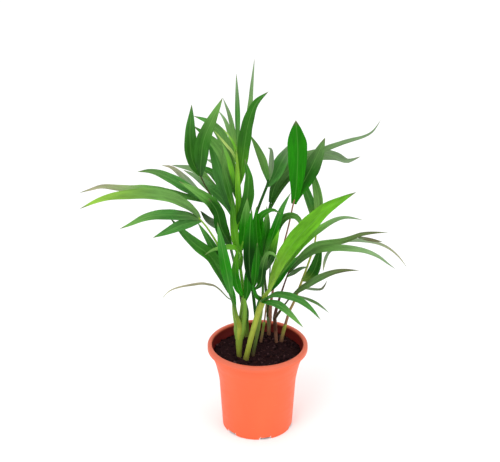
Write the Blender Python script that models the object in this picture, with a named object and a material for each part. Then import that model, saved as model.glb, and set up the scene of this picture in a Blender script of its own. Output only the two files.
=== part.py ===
"""Young areca palm in a 12 cm nursery pot.

Row frame: metres, +Z up, the origin at the centre of the pot's underside.
The dimensions and point lists below are in millimetres; MM turns them into metres.
"""

import math

import bmesh
import bpy
from mathutils import Vector

MM = 0.001

# ---------------------------------------------------------------- driving dimensions (mm)
POT_HEIGHT = 110.0
POT_BASE_RADIUS = 42.4
POT_WALL = 1.2
POT_FLOOR = 2.0
POT_SHOULDER_Z = 60.0
POT_SHOULDER_RADIUS = 46.0
POT_FLARE_TOP_Z = 102.5
POT_FLARE_TOP_RADIUS = 55.6
FLARE_CURVE = 1.35
RIM_RADIUS = 60.0
RIM_OPENING_RADIUS = 54.6
POT_SIDES = 48

FOOT_NOTCHES = 6
FOOT_NOTCH_WIDTH = 16.0
FOOT_NOTCH_HEIGHT = 3.0
FOOT_NOTCH_INNER_RADIUS = 37.0
FOOT_NOTCH_LEAN = 3.0
FIRST_NOTCH_ANGLE = -77.0

SOIL_LEVEL = 98.0
SOIL_BUMP = 1.3
SOIL_SIDES = 32
SOIL_SIDE_ROOM = 0.25
SOCKET_ROOM = 0.15

GAP = 0.3
STEM_BURIED = 18.0
STEM_SIDES = 8
STALK_SIDES = 6
SEAT_LENGTH = 6.0
STALK_STEP = 16.0
LEAFLET_STEP = 14.0
SMALLEST_EDGE = 0.002
BLADE_THICKNESS = 1.1
BLADE_FOLD = 0.16
WIDEST_AT = 0.45
LEAFLET_FOOT = 0.28
BROAD_LEAFLET = 17.0
BROAD_SHIFT = 0.08
TIP_TAPER = 1.7
TIP_THINNING = 0.5

# ---------------------------------------------------------------- stems (mm)
# name: centreline from the soil surface up, radius at the soil, radius at the top
STEMS = {
    "stem_left": ([(-22, -11, 98), (-22, -12, 116), (-21, -12, 134)], 2.8, 5.4),
    "stem_front": ([(-14, -18, 98), (-7, -18, 130), (3, -12, 167)], 3.2, 3.4),
    "stem_brown": ([(-6, -10, 98), (-1, -3, 120), (3, 1, 142)], 2.2, 2.2),
    "stem_back_left": ([(-13, 38, 98), (-14, 38, 112), (-15, 37, 128)], 3.4, 3.8),
    "stem_back": ([(-1, 34, 98), (-1, 34, 112), (-2, 34, 125)], 1.9, 2.0),
    "stem_small": ([(4, 23, 98), (6, 21, 112), (8, 18, 128)], 1.6, 1.8),
    "stem_back_right": ([(14, 41, 98), (14, 41, 110), (14, 41, 123)], 2.1, 2.8),
    "stem_red": ([(23, 23, 98), (22, 22, 112), (21, 20, 127)], 1.8, 2.6),
    "stem_right": ([(29, 25, 98), (31, 25, 109), (34, 25, 122)], 2.2, 2.2),
}

# ---------------------------------------------------------------- fronds (mm)
# name: (stem, seat angle on the stem's top, seat offset, stalk centreline above the seat,
#        stalk radius at the foot and at the top, leaflets)
# leaflet: (centreline from the stalk to the tip, width, azimuth and elevation it faces)
FRONDS = {
    "frond_left_low": ("stem_left", 170, 3.4, [
        (-27, -15, 160), (-29, -20, 184), (-35, -30, 218), (-43, -38, 251), (-55, -46, 278),
        (-66, -54, 297)], (2.3, 0.9), [
        ([(-64, -52, 294), (-68, -60, 305), (-78, -74, 320), (-93, -88, 334), (-114, -100, 343),
          (-144, -112, 346), (-164, -118, 344), (-186, -122, 335)], 12.5, (-80, 40)),
        ([(-64, -52, 293), (-74, -66, 303), (-88, -82, 311), (-104, -100, 319), (-119, -114, 322),
          (-133, -124, 319), (-145, -128, 315)], 11.0, (-75, 35)),
        ([(-63, -51, 291), (-72, -64, 295), (-84, -82, 299), (-99, -100, 299),
          (-112, -110, 297)], 11.0, (-70, 30)),
        ([(-28, -19, 176), (-35, -30, 186), (-46, -46, 206), (-55, -58, 216), (-65, -70, 223),
          (-76, -80, 226), (-86, -88, 228), (-97, -96, 227), (-106, -101, 219)], 4.5, (-90, 60)),
    ]),
    "frond_centre": ("stem_left", 350, 3.4, [
        (-15, -14, 171), (-20, -15, 213), (-19, -18, 240), (-17, -20, 252)], (2.1, 1.2), [
        ([(-19, -18, 240), (-16, -22, 261), (-14, -26, 285), (-12, -28, 309)], 12.5, (-80, 20)),
        ([(-20, -16, 224), (-25, -18, 253), (-28, -16, 276), (-30, -14, 300)], 9.0, (-110, 20)),
        ([(-20, -15, 213), (-22, -36, 246), (-31, -50, 258), (-40, -58, 261), (-51, -66, 262),
          (-59, -72, 259)], 9.5, (-90, 55)),
        ([(-17, -14, 178), (-23, -25, 196), (-26, -30, 215), (-25, -33, 235), (-23, -35, 252)], 9.0,
         (-95, 15)),
        ([(-15, -14, 172), (-12, -20, 190), (-12, -24, 210), (-11, -26, 232)], 8.5, (-85, 15)),
    ]),
    "frond_top": ("stem_left", 80, 3.4, [
        (-18, -4, 160), (-17, 0, 181), (-23, 0, 232), (-26, 0, 257), (-25, 0, 276), (-24, 4, 305),
        (-23, 8, 334), (-23, 10, 356)], (2.1, 1.0), [
        ([(-23, 10, 352), (-23, 8, 399), (-24, 4, 443)], 5.5, (-80, 10)),
        ([(-24, 4, 306), (-19, 1, 330), (-12, -4, 382), (-3, -14, 413), (11, -30, 433)], 14.5,
         (-110, 25)),
        ([(-23, 8, 333), (-17, 14, 352), (-10, 20, 395), (-7, 26, 425), (-4, 30, 452)], 6.0,
         (-70, 15)),
        ([(-23, 8, 336), (-26, 16, 358), (-31, 30, 382), (-40, 50, 400)], 6.0, (-130, 30)),
        ([(-23, 8, 331), (-27, 20, 350), (-36, 40, 373), (-46, 60, 382)], 5.5, (-120, 35)),
        ([(-24, 4, 306), (-32, 20, 336), (-41, 36, 358), (-55, 52, 369), (-75, 66, 373)], 12.0,
         (-110, 50)),
        ([(-24, 2, 296), (-32, 12, 323), (-41, 22, 343), (-54, 32, 356), (-75, 44, 369)], 12.5,
         (-100, 50)),
        ([(-26, 0, 276), (-38, 22, 300), (-46, 44, 322), (-59, 70, 352)], 16.0, (-120, 35)),
        ([(-26, 0, 255), (-14, -8, 292), (-11, -14, 325), (-15, -18, 352)], 14.0, (-70, 20)),
        ([(-25, 0, 267), (-32, -5, 306), (-38, -4, 332), (-40, 0, 358)], 7.0, (-120, 25)),
        ([(-26, 0, 250), (-22, -5, 284), (-23, -5, 321), (-24, -3, 358)], 6.5, (-80, 10)),
    ]),
    "frond_left_dark": ("stem_left", 260, 3.4, [
        (-25, -24, 160), (-30, -36, 188), (-37, -42, 210)], (1.8, 1.2), [
        ([(-33, -38, 197), (-41, -46, 222), (-53, -52, 248), (-70, -62, 268), (-82, -72, 286),
          (-95, -84, 309)], 14.0, (-60, 30)),
        ([(-30, -36, 188), (-36, -56, 236), (-41, -74, 278), (-44, -84, 304)], 11.5, (-90, 15)),
        ([(-35, -40, 206), (-44, -44, 241), (-56, -49, 269), (-67, -56, 292)], 9.5, (-80, 25)),
        ([(-26, -25, 166), (-29, -32, 188), (-36, -39, 211), (-43, -42, 229), (-46, -44, 246)], 7.5,
         (-75, 20)),
    ]),
    "frond_left_pair": ("stem_back_left", 250, 2.3, [
        (-21, 33, 160), (-26, 30, 192), (-37, 20, 245), (-43, 12, 275), (-57, 5, 304),
        (-62, 0, 317), (-66, -4, 329)], (1.5, 0.9), [
        ([(-65, -3, 326), (-73, -12, 347), (-75, -20, 378), (-72, -25, 417)], 14.0, (-75, 20)),
        ([(-65, -3, 325), (-63, -20, 350), (-58, -32, 382), (-38, -42, 430)], 15.5, (-100, 20)),
    ]),
    "frond_left_upper": ("stem_back_left", 10, 2.3, [
        (-18, 24, 165), (-28, -4, 223), (-33, -6, 250), (-40, -12, 276), (-50, -20, 294),
        (-59, -25, 304)], (1.4, 0.8), [
        ([(-58, -24, 303), (-70, -32, 316), (-86, -40, 330), (-102, -46, 342), (-117, -50, 349),
          (-131, -54, 350)], 12.0, (-75, 40)),
        ([(-56, -23, 301), (-72, -14, 315), (-84, -6, 325), (-97, 0, 334), (-109, 2, 336)], 7.5,
         (-75, 40)),
        ([(-57, -24, 302), (-81, -36, 314), (-118, -52, 328), (-141, -62, 333), (-166, -72, 340),
          (-180, -76, 338), (-192, -78, 335)], 9.5, (-75, 45)),
        ([(-36, -8, 262), (-47, -14, 269), (-57, -20, 279), (-65, -24, 292)], 9.5, (-60, 40)),
        ([(-35, -9, 258), (-43, -27, 286), (-52, -36, 306), (-68, -44, 323), (-87, -50, 338)], 13.0,
         (-80, 35)),
        ([(-31, -6, 240), (-41, -26, 270), (-46, -37, 297), (-55, -46, 316)], 14.0, (-80, 25)),
    ]),
    "frond_left_back": ("stem_back_left", 130, 2.3, [
        (-18, 42, 165), (-22, 40, 210), (-27, 34, 255), (-33, 28, 283)], (1.4, 1.0), [
        ([(-32, 29, 278), (-47, 30, 292), (-58, 34, 303), (-67, 38, 313), (-79, 42, 317),
          (-101, 50, 318)], 9.5, (-75, 40)),
        ([(-30, 31, 262), (-37, 26, 280), (-54, 28, 297), (-71, 34, 309), (-87, 40, 316)], 11.0,
         (-75, 35)),
        ([(-33, 28, 282), (-43, 42, 309), (-49, 64, 314), (-62, 88, 311)], 9.5, (-100, 50)),
        ([(-31, 30, 272), (-45, 52, 297), (-58, 74, 301), (-79, 92, 302)], 11.5, (-80, 50)),
    ]),
    "frond_right_bright": ("stem_front", 20, 2.0, [
        (8, -14, 180), (13, -22, 191), (21, -30, 213)], (1.8, 1.6), [
        ([(13, -22, 193), (24, -36, 231), (40, -48, 264), (60, -60, 294), (76, -66, 313),
          (93, -70, 326), (105, -72, 334)], 18.5, (-110, 35)),
        ([(17, -26, 203), (42, -30, 243), (58, -34, 264), (80, -38, 283), (96, -42, 291),
          (116, -46, 290)], 9.0, (-100, 45)),
        ([(8, -14, 181), (19, -18, 196), (30, -19, 213), (39, -20, 225), (48, -21, 236)], 8.5,
         (-95, 50)),
    ]),
    "frond_inner": ("stem_front", 140, 2.0, [
        (-2, -18, 182), (-5, -26, 197), (-6, -30, 208)], (1.6, 1.3), [
        ([(-5, -27, 199), (-9, -32, 218), (-10, -36, 245), (-9, -38, 275), (-7, -38, 301)], 12.0,
         (-100, 15)),
        ([(-5, -26, 197), (-3, -38, 218), (-2, -43, 240), (-1, -45, 262)], 10.0, (-80, 15)),
        ([(-4, -24, 193), (3, -40, 210), (6, -50, 238), (11, -57, 254), (18, -62, 255),
          (22, -64, 246)], 8.0, (-80, 40)),
    ]),
    "frond_front_right": ("stem_front", 260, 2.0, [
        (5, -22, 177), (9, -30, 185)], (1.2, 1.0), [
        ([(6, -24, 179), (19, -36, 192), (31, -46, 196), (45, -58, 197), (58, -68, 192),
          (70, -78, 182)], 9.5, (-90, 60)),
        ([(5, -22, 176), (16, -40, 184), (27, -54, 186), (38, -66, 181), (51, -76, 171)], 8.5,
         (-100, 55)),
    ]),
    "frond_cluster": ("stem_brown", 0, 0.0, [
        (6, 0, 177), (5, -6, 208), (4, -8, 229)], (2.0, 1.4), [
        ([(4, -7, 220), (0, -12, 244), (-2, -16, 268), (-2, -18, 294)], 11.0, (-100, 20)),
        ([(5.5, -3, 190), (-2, 2, 214), (-3, 3, 247), (-1, 4, 286)], 11.5, (-75, 18)),
        ([(4, -8, 226), (8, -7, 250), (10, -4, 270), (10, 2, 287)], 9.5, (-80, 20)),
        ([(5, -7, 215), (15, -12, 250), (22, -12, 273), (28, -12, 291), (37, -14, 310)], 9.0,
         (-100, 25)),
        ([(5, -6, 206), (14, -24, 232), (19, -32, 254), (24, -38, 276)], 10.5, (-110, 25)),
        ([(4, -8, 227), (1, -11, 249), (1, -13, 266), (3, -15, 280), (10, -16, 287), (18, -16, 289),
          (26, -17, 284)], 10.0, (-90, 45)),
    ]),
    "frond_arched": ("stem_small", 0, 0.0, [
        (11, 15, 160), (14, 14, 190), (15, 13, 226)], (1.1, 0.8), [
        ([(15, 13, 222), (19, 9, 246), (24, 7, 261), (33, 4, 272), (43, 0, 274), (50, -4, 266),
          (54, -7, 253)], 9.5, (-90, 45)),
    ]),
    "frond_middle": ("stem_back", 0, 0.0, [
        (-7, 34, 178), (-8, 34, 218), (-8, 32, 240), (1, 28, 274), (11, 26, 303),
        (12, 26, 309)], (2.2, 1.8), [
        ([(12, 26, 306), (9, 23, 320), (6, 20, 334), (-1, 17, 352), (-9, 14, 368)], 9.0,
         (-110, 25)),
        ([(11, 26, 301), (19, 30, 312), (27, 34, 328), (35, 38, 341), (41, 42, 351)], 15.0,
         (-100, 20)),
        ([(12, 26, 306), (15, 20, 326), (15, 12, 350), (10, 2, 357)], 6.0, (-100, 25)),
    ]),
    "frond_bifid": ("stem_back_right", -20, 1.7, [
        (17, 38, 150), (21, 34, 176), (29, 28, 219), (36, 18, 256), (40, 10, 283),
        (42, 8, 292)], (1.3, 1.0), [
        ([(41, 9, 286), (43, 5, 302), (44, 0, 326), (44, -6, 360), (41, -14, 395)], 20.5,
         (-95, 15)),
        ([(41, 9, 286), (46, 7, 302), (54, 4, 320), (64, -2, 345), (74, -8, 373)], 18.0,
         (-80, 20)),
    ]),
    "frond_high_right": ("stem_back_right", 110, 1.7, [
        (9, 48, 170), (7, 49, 215), (7, 48, 242), (13, 49, 262), (16, 49, 276)], (1.5, 1.2), [
        ([(15, 49, 271), (20, 50, 291), (30, 53, 306), (43, 57, 316), (58, 63, 321), (75, 70, 323),
          (92, 76, 319), (105, 80, 312), (112, 82, 312), (123, 84, 316)], 16.0, (-100, 35)),
        ([(13, 49, 259), (26, 52, 285), (44, 49, 311), (62, 44, 329), (78, 38, 342), (94, 34, 350),
          (107, 30, 356), (121, 26, 362), (130, 24, 369), (138, 20, 384)], 7.5, (-100, 45)),
    ]),
    "frond_right_low": ("stem_red", 90, 1.6, [
        (24, 22, 150), (32, 12, 184), (38, 4, 207)], (1.3, 1.0), [
        ([(37, 5, 204), (49, 0, 223), (60, -3, 235), (71, -6, 242), (94, -12, 248), (107, -15, 254),
          (118, -16, 259), (133, -18, 262), (148, -20, 263)], 7.5, (-95, 50)),
        ([(112, -15, 255.5), (127, -22, 255), (141, -28, 255)], 4.0, (-95, 50)),
        ([(88, -34, 250.5), (80, -32, 244), (76, -30, 233), (74, -28, 217)], 3.5, (-95, 30)),
        ([(36, 6, 200), (48, -6, 220), (58, -15, 233), (70, -25, 244), (87, -34, 250),
          (103, -40, 252), (119, -46, 252), (134, -50, 247), (145, -54, 240), (154, -56, 234)],
         8.5, (-90, 50)),
        ([(34, 9, 193), (42, -8, 207), (50, -16, 216), (58, -24, 222)], 6.0, (-95, 45)),
    ]),
    "frond_right_olive": ("stem_red", 270, 1.6, [
        (27, 6, 150), (33, -2, 164), (39, -10, 177)], (1.2, 1.0), [
        ([(38, -9, 175), (49, -18, 190), (60, -25, 201), (71, -32, 212), (84, -38, 221),
          (98, -44, 227), (114, -50, 230)], 8.0, (-95, 45)),
    ]),
    "frond_right_fork": ("stem_right", 0, 0.0, [
        (39, 26, 140), (44, 26, 152), (50, 27, 170), (59, 29, 197), (67, 32, 224),
        (70, 34, 250)], (2.0, 1.0), [
        ([(70, 34, 246), (63, 36, 270), (56, 42, 290), (50, 50, 312)], 10.5, (-70, 25)),
        ([(70, 34, 246), (71, 31, 272), (68, 28, 296), (60, 22, 328)], 10.0, (-90, 25)),
        ([(63, 30, 210), (73, 30, 223), (86, 34, 225), (110, 44, 224), (135, 54, 218),
          (156, 60, 208), (171, 64, 194), (184, 68, 176)], 5.0, (-90, 55)),
        ([(53, 27, 180), (61, 15, 190), (67, 8, 205), (71, 9, 221), (74, 13, 236)], 12.5,
         (-100, 20)),
        ([(49, 27, 168), (56, 31, 167), (67, 38, 162), (77, 44, 159), (82, 50, 162),
          (85, 54, 167)], 4.0,
         (-90, 60)),
        ([(47, 26, 160), (56, 23, 158), (68, 24, 152), (78, 28, 143), (87, 32, 133)], 4.0,
         (-90, 55)),
    ]),
}

# ---------------------------------------------------------------- finishes
POT_COLOUR = (0.95, 0.17, 0.08, 1.0)
SOIL_COLOUR = (0.022, 0.014, 0.010, 1.0)
STEM_COLOURS = {
    "stem_left": (0.25, 0.37, 0.05, 1.0),
    "stem_front": (0.38, 0.46, 0.07, 1.0),
    "stem_brown": (0.17, 0.13, 0.05, 1.0),
    "stem_back_left": (0.12, 0.22, 0.04, 1.0),
    "stem_back": (0.14, 0.17, 0.05, 1.0),
    "stem_small": (0.30, 0.20, 0.13, 1.0),
    "stem_back_right": (0.30, 0.27, 0.15, 1.0),
    "stem_red": (0.20, 0.08, 0.05, 1.0),
    "stem_right": (0.33, 0.20, 0.12, 1.0),
}
DARK_GREEN = (0.020, 0.090, 0.014, 1.0)
MID_GREEN = (0.045, 0.170, 0.020, 1.0)
BRIGHT_GREEN = (0.170, 0.360, 0.040, 1.0)
FROND_COLOURS = {
    "frond_centre": BRIGHT_GREEN,
    "frond_right_bright": BRIGHT_GREEN,
    "frond_cluster": MID_GREEN,
    "frond_left_upper": MID_GREEN,
    "frond_left_low": MID_GREEN,
    "frond_top": MID_GREEN,
    "frond_bifid": MID_GREEN,
}


def clear_scene():
    """Start from an empty scene."""
    for old in list(bpy.data.objects):
        bpy.data.objects.remove(old, do_unlink=True)


def finish_of(name, colour, roughness, sheen=0.0):
    """A material of its own for one sub-part."""
    material = bpy.data.materials.new(name)
    material.use_nodes = True
    shader = material.node_tree.nodes["Principled BSDF"]
    shader.inputs["Base Color"].default_value = colour
    shader.inputs["Roughness"].default_value = roughness
    shader.inputs["Coat Weight"].default_value = sheen
    material.diffuse_color = colour
    return material


def object_from(name, mesh_data):
    """A named object in the scene from a bmesh, with its faces turned outward."""
    bmesh.ops.recalc_face_normals(mesh_data, faces=mesh_data.faces[:])
    if mesh_data.calc_volume(signed=True) < 0:
        bmesh.ops.reverse_faces(mesh_data, faces=mesh_data.faces[:])
    mesh = bpy.data.meshes.new(name)
    mesh_data.to_mesh(mesh)
    mesh_data.free()
    made = bpy.data.objects.new(name, mesh)
    bpy.context.scene.collection.objects.link(made)
    return made


def smooth_points(points, count):
    """Evenly spaced points along the Catmull-Rom curve through the given ones."""
    knots = [Vector(p) for p in points]
    knots = [2 * knots[0] - knots[1]] + knots + [2 * knots[-1] - knots[-2]]
    dense = []
    for i in range(1, len(knots) - 2):
        a, b, c, d = knots[i - 1:i + 3]
        for k in range(12):
            t = k / 12
            dense.append(0.5 * (2 * b + (c - a) * t + (2 * a - 5 * b + 4 * c - d) * t * t
                                + (3 * b - a - 3 * c + d) * t ** 3))
    dense.append(knots[-2])
    lengths = [0.0]
    for p, q in zip(dense, dense[1:]):
        lengths.append(lengths[-1] + (q - p).length)
    spaced = []
    j = 0
    for i in range(count):
        wanted = lengths[-1] * i / (count - 1)
        while j < len(dense) - 2 and lengths[j + 1] < wanted:
            j += 1
        step = lengths[j + 1] - lengths[j]
        spaced.append(dense[j].lerp(dense[j + 1], (wanted - lengths[j]) / step if step else 0.0))
    return spaced


def tangents_of(points):
    """Unit directions along a line of points."""
    last = len(points) - 1
    return [(points[min(i + 1, last)] - points[max(i - 1, 0)]).normalized()
            for i in range(last + 1)]


def ring_body(rings, tip=None):
    """A closed body from equal rings of points, capped at its ends or run to a tip."""
    body = bmesh.new()
    layers = [[body.verts.new(p * MM) for p in ring] for ring in rings]
    size = len(layers[0])
    for low, high in zip(layers, layers[1:]):
        for i in range(size):
            j = (i + 1) % size
            body.faces.new((low[i], low[j], high[j], high[i]))
    body.faces.new(layers[0])
    if tip is None:
        body.faces.new(layers[-1])
    else:
        point = body.verts.new(tip * MM)
        for i in range(size):
            body.faces.new((layers[-1][i], layers[-1][(i + 1) % size], point))
    return body


def tube_rings(points, radii, sides):
    """Round sections square to a centreline, carried along it without twisting."""
    directions = tangents_of(points)
    side = directions[0].orthogonal().normalized()
    rings = []
    for point, direction, radius in zip(points, directions, radii):
        side = (side - direction * side.dot(direction)).normalized()
        other = direction.cross(side)
        rings.append([point + radius * (math.cos(a) * side + math.sin(a) * other)
                      for a in (2 * math.pi * k / sides for k in range(sides))])
    return rings


def blade_width(s, width):
    """Width of a leaflet as a share of its widest, which lies further out on a broad one."""
    widest = WIDEST_AT + BROAD_SHIFT * max(0.0, width - BROAD_LEAFLET)
    swell = LEAFLET_FOOT + (1 - LEAFLET_FOOT) * math.sin(0.5 * math.pi * min(s / widest, 1.0))
    return swell * (1 - (max(0.0, s - widest) / (1 - widest)) ** TIP_TAPER)


def blade(points, width, facing):
    """One leaflet: a thin folded strip, thickest along its midrib, run out to a point."""
    azimuth, elevation = (math.radians(a) for a in facing)
    face = Vector((math.cos(azimuth) * math.cos(elevation),
                   math.sin(azimuth) * math.cos(elevation), math.sin(elevation)))
    length = sum((Vector(q) - Vector(p)).length for p, q in zip(points, points[1:]))
    count = max(5, min(10, round(length / LEAFLET_STEP)))
    line = smooth_points(points, count)
    rings = []
    for i, (point, direction) in enumerate(zip(line[:-1], tangents_of(line))):
        s = i / (count - 1)
        side = direction.cross(face).normalized()
        up = side.cross(direction)
        half = 0.5 * width * blade_width(s, width)
        thick = 0.5 * BLADE_THICKNESS * (1 - TIP_THINNING * s)
        fold = BLADE_FOLD * 2 * half * min(1.0, 3 * s)
        rings.append([point + side * half + up * fold, point + up * thick,
                      point - side * half + up * fold, point - up * thick])
    return ring_body(rings, line[-1])


def joined(name, bodies):
    """The union of several bodies as one closed body."""
    whole = object_from(name, bodies[0])
    for body in bodies[1:]:
        other = object_from(name + "_piece", body)
        union = whole.modifiers.new("union", "BOOLEAN")
        union.operation = "UNION"
        union.solver = "EXACT"
        union.object = other
        settled = bpy.data.meshes.new_from_object(
            whole.evaluated_get(bpy.context.evaluated_depsgraph_get()))
        whole.modifiers.clear()
        whole.data = settled
        bpy.data.objects.remove(other, do_unlink=True)
    settled = bmesh.new()
    settled.from_mesh(whole.data)
    bmesh.ops.dissolve_degenerate(settled, edges=settled.edges[:], dist=SMALLEST_EDGE * MM)
    bmesh.ops.triangulate(settled, faces=settled.faces[:])
    if settled.calc_volume(signed=True) < 0:
        bmesh.ops.reverse_faces(settled, faces=settled.faces[:])
    settled.to_mesh(whole.data)
    settled.free()
    whole.data.name = name
    return whole


def turned(profile, sides, bump=None):
    """A body of revolution about the pot's axis from (radius, height) pairs."""
    body = bmesh.new()
    rings = []
    for radius, height in profile:
        if radius == 0:
            rings.append([body.verts.new((0, 0, height * MM))])
            continue
        ring = []
        for k in range(sides):
            angle = 2 * math.pi * k / sides
            x, y = radius * math.cos(angle), radius * math.sin(angle)
            ring.append(body.verts.new((x * MM, y * MM, height * MM)))
        rings.append(ring)
    for low, high in zip(rings, rings[1:]):
        for k in range(sides):
            n = (k + 1) % sides
            corners = [low[k % len(low)], low[n % len(low)], high[n % len(high)],
                       high[k % len(high)]]
            face = []
            for corner in corners:
                if corner not in face:
                    face.append(corner)
            body.faces.new(face)
    if bump:
        for vertex in body.verts:
            vertex.co.z += MM * bump(vertex.co.x / MM, vertex.co.y / MM, vertex.co.z / MM)
    return body


def flare_radius(z):
    """Outer radius of the wall: a straight taper, then a flare out to the lip."""
    if z <= POT_SHOULDER_Z:
        return POT_BASE_RADIUS + (POT_SHOULDER_RADIUS - POT_BASE_RADIUS) * z / POT_SHOULDER_Z
    t = (z - POT_SHOULDER_Z) / (POT_FLARE_TOP_Z - POT_SHOULDER_Z)
    rise = t ** FLARE_CURVE
    return POT_SHOULDER_RADIUS + (POT_FLARE_TOP_RADIUS - POT_SHOULDER_RADIUS) * rise


WALL_HEIGHTS = (8.0, 30.0, 60.0, 68.0, 76.0, 85.0, 94.0, POT_FLARE_TOP_Z)


def make_pot():
    """The nursery pot: flat floor, tapering flared wall, rolled lip, notched foot."""
    outer = [(0, 0), (30.0, 0), (POT_BASE_RADIUS - 1.0, 0), (POT_BASE_RADIUS, 0.8)]
    outer += [(flare_radius(z), z) for z in WALL_HEIGHTS]
    lip = [(RIM_RADIUS - 0.9, POT_FLARE_TOP_Z + 0.3), (RIM_RADIUS - 0.2, POT_FLARE_TOP_Z + 1.2),
           (RIM_RADIUS, 106.0), (RIM_RADIUS - 0.5, 108.6), (RIM_RADIUS - 1.9, 109.8),
           (RIM_RADIUS - 3.2, POT_HEIGHT), (RIM_OPENING_RADIUS + 0.7, 109.5),
           (RIM_OPENING_RADIUS, 108.3)]
    inner = [(flare_radius(z) - POT_WALL, z) for z in reversed(WALL_HEIGHTS)]
    inner += [(flare_radius(POT_FLOOR) - POT_WALL - 1.0, POT_FLOOR), (0, POT_FLOOR)]
    pot = object_from("pot", turned(outer + lip + inner, POT_SIDES))
    for k in range(FOOT_NOTCHES):
        angle = math.radians(FIRST_NOTCH_ANGLE + k * 360 / FOOT_NOTCHES)
        length = POT_BASE_RADIUS + 4 - FOOT_NOTCH_INNER_RADIUS
        middle = FOOT_NOTCH_INNER_RADIUS + length / 2
        box = bmesh.new()
        bmesh.ops.create_cube(box, size=1.0)
        for corner in box.verts:
            x = middle + corner.co.x * length
            y = corner.co.y * (FOOT_NOTCH_WIDTH - (FOOT_NOTCH_LEAN if corner.co.z > 0 else 0.0))
            z = corner.co.z * 2 * FOOT_NOTCH_HEIGHT
            corner.co = Vector((x * math.cos(angle) - y * math.sin(angle),
                                x * math.sin(angle) + y * math.cos(angle), z)) * MM
        cutter = object_from("cut_foot_notch_%d" % (k + 1), box)
        cutter.hide_render = True
        cutter.display_type = "WIRE"
        cut = pot.modifiers.new("foot notch %d" % (k + 1), "BOOLEAN")
        cut.operation = "DIFFERENCE"
        cut.solver = "EXACT"
        cut.object = cutter
    pot.data.materials.append(finish_of("pot", POT_COLOUR, 0.42, 0.15))
    return pot


def soil_bump(x, y, z):
    """Uneven top of the soil, flat elsewhere."""
    if z < SOIL_LEVEL - 2.0:
        return 0.0
    wave = math.sin(0.31 * x + 0.9) * math.cos(0.27 * y - 0.4)
    wave += 0.6 * math.sin(0.53 * x - 0.47 * y + 2.0)
    return SOIL_BUMP * 0.6 * wave


def make_soil():
    """The potting soil: a plug filling the pot to just under its lip, with a socket per stem."""
    def side(z):
        return flare_radius(z) - POT_WALL - GAP - SOIL_SIDE_ROOM
    profile = [(0, POT_FLOOR + GAP), (FOOT_NOTCH_INNER_RADIUS - 1.0, POT_FLOOR + GAP),
               (side(8.0) - 1.0, FOOT_NOTCH_HEIGHT + 1.0), (side(8.0), 9.0), (side(30.0), 30.0),
               (side(60.0), 60.0), (side(76.0), 76.0), (side(92.0), 92.0),
               (side(SOIL_LEVEL) - 0.6, SOIL_LEVEL - 1.0), (side(SOIL_LEVEL) - 3.5, SOIL_LEVEL)]
    profile += [(radius, SOIL_LEVEL) for radius in (43.0, 35.0, 27.0, 19.0, 11.0, 5.0, 0)]
    soil = object_from("potting_soil", turned(profile, SOIL_SIDES, soil_bump))
    for name, (points, foot, top) in STEMS.items():
        line = buried(points, 1.0)[:3]
        wide = [radius + GAP + SOCKET_ROOM for radius in (foot, foot, 0.5 * (foot + top))]
        cutter = object_from("cut_socket_" + name, ring_body(tube_rings(line, wide, STEM_SIDES)))
        cutter.hide_render = True
        cutter.display_type = "WIRE"
        cut = soil.modifiers.new("socket " + name, "BOOLEAN")
        cut.operation = "DIFFERENCE"
        cut.solver = "EXACT"
        cut.object = cutter
    soil.data.materials.append(finish_of("potting_soil", SOIL_COLOUR, 0.95))
    return soil


def buried(points, extra):
    """A stem's centreline carried straight down into the soil."""
    start = Vector(points[0])
    return [start - Vector((0, 0, STEM_BURIED + extra)), start] + [Vector(p) for p in points[1:]]


def make_stem(name):
    """One stem: a round shaft standing in its socket."""
    points, foot, top = STEMS[name]
    line = buried(points, 0.0)
    straight = ring_body(tube_rings(line, [foot, foot, 0.5 * (foot + top), top], STEM_SIDES))
    stem = object_from(name, straight)
    stem.data.shade_smooth()
    stem.data.materials.append(finish_of(name, STEM_COLOURS[name], 0.5))
    return stem


def seat_of(stem, angle, offset):
    """Foot of a frond: just above the flat top of its stem, beside its neighbours."""
    points = STEMS[stem][0]
    top = Vector(points[-1])
    up = tangents_of([Vector(p) for p in points])[-1]
    out = Vector((math.cos(math.radians(angle)), math.sin(math.radians(angle)), 0))
    out = (out - up * out.dot(up)).normalized()
    foot = top + out * offset + up * GAP
    return [foot, foot + up * SEAT_LENGTH]


def make_frond(name):
    """One frond: its stalk and all its leaflets, grown together as a single piece."""
    stem, angle, offset, via, (foot, top), leaflets = FRONDS[name]
    path = seat_of(stem, angle, offset) + [Vector(p) for p in via]
    length = sum((q - p).length for p, q in zip(path, path[1:]))
    count = max(4, min(14, round(length / STALK_STEP) + 2))
    first, second = path[0], path[1]
    line = [first] + smooth_points(path[1:], count)
    steps = len(line) - 1
    radii = [foot + (top - foot) * i / steps for i in range(steps + 1)]
    rings = tube_rings(line, radii, STALK_SIDES)
    rings[0] = [p - (p - first).dot((second - first).normalized()) * (second - first).normalized()
                for p in rings[0]]
    bodies = [ring_body(rings)]
    bodies += [blade(points, width, facing) for points, width, facing in leaflets]
    frond = joined(name, bodies)
    frond.data.materials.clear()
    frond.data.materials.append(finish_of(name, FROND_COLOURS.get(name, DARK_GREEN), 0.45, 0.1))
    return frond


def main():
    clear_scene()
    pot = make_pot()
    pot.data.shade_smooth()
    make_soil()
    for name in STEMS:
        make_stem(name)
    for name in FRONDS:
        make_frond(name)


main()
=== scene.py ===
"""Young areca palm in its nursery pot: the finished look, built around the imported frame.

Row frame: metres, +Z up, the origin at the centre of the pot's underside.
The dimensions and point lists below are in millimetres; MM turns them into metres.
"""

import math
import random

import bmesh
import bpy
from mathutils import Matrix, Vector, noise


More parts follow.
